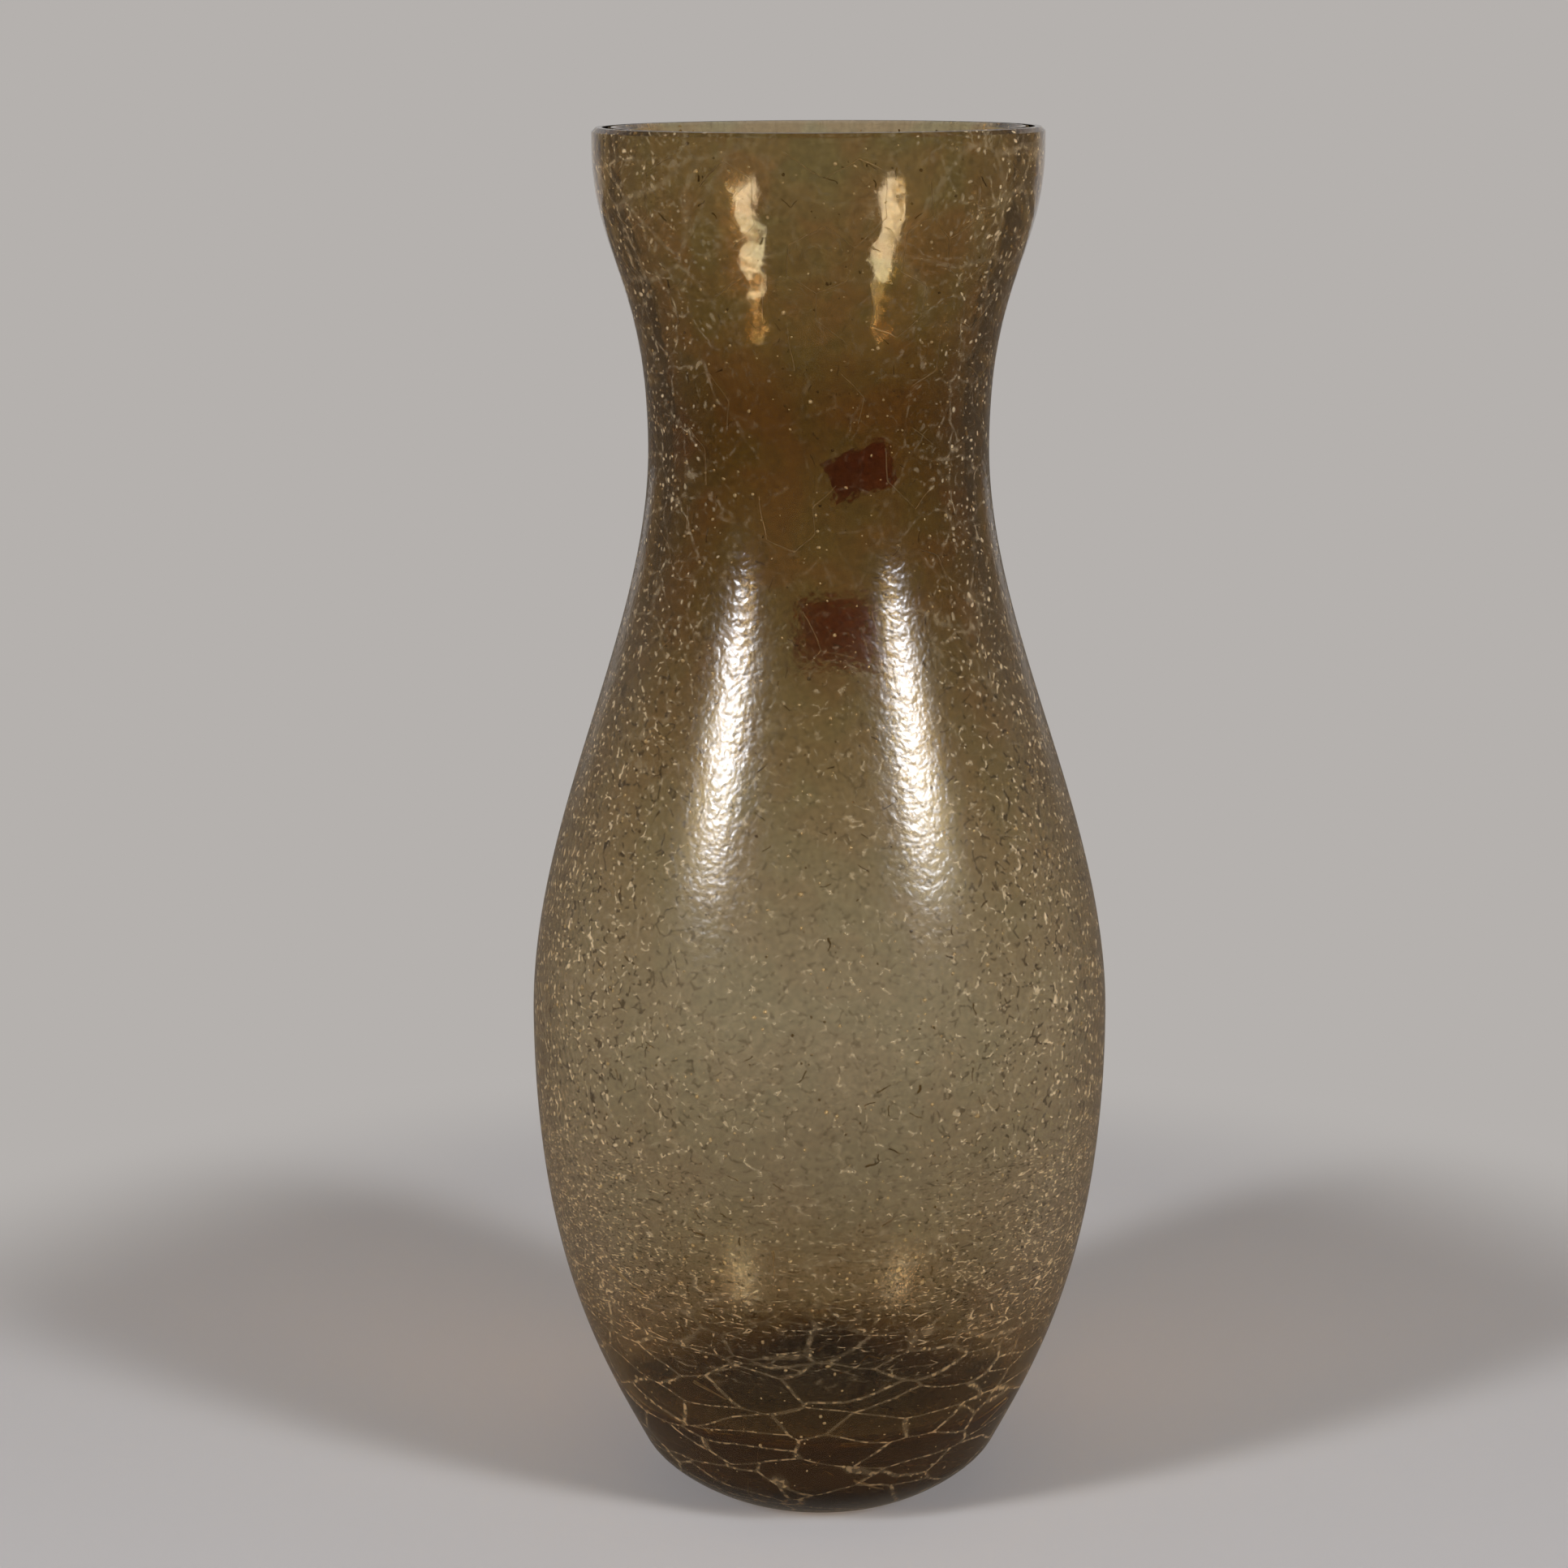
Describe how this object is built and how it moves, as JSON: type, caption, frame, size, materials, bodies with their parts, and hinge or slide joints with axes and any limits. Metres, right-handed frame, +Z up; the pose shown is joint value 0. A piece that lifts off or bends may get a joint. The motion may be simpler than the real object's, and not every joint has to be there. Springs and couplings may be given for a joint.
{
  "type": "baluster vase",
  "caption": "Tall baluster vase of crackled smoky amber glass under a clear casing, with a ground flat rim, a flared neck and a thick flat base.",
  "frame": {"origin": "centre of the flat base, on the table", "axes": "+Z up along the vase's axis; the labels are at the back, towards +Y; the front is -Y"},
  "size_m": [0.168, 0.168, 0.4],
  "materials": {
    "clear_glass": "clear, fire-polished, with a ground rim",
    "amber_crackle_glass": "smoky amber glass, crackled inside the wall",
    "label_paper": "matt paper, blank"
  },
  "bodies": {
    "root": {"clear_outer_casing": "clear_glass", "amber_inner_layer": "amber_crackle_glass", "neck_label": "label_paper", "shoulder_label": "label_paper"}
  },
  "joints": []
}
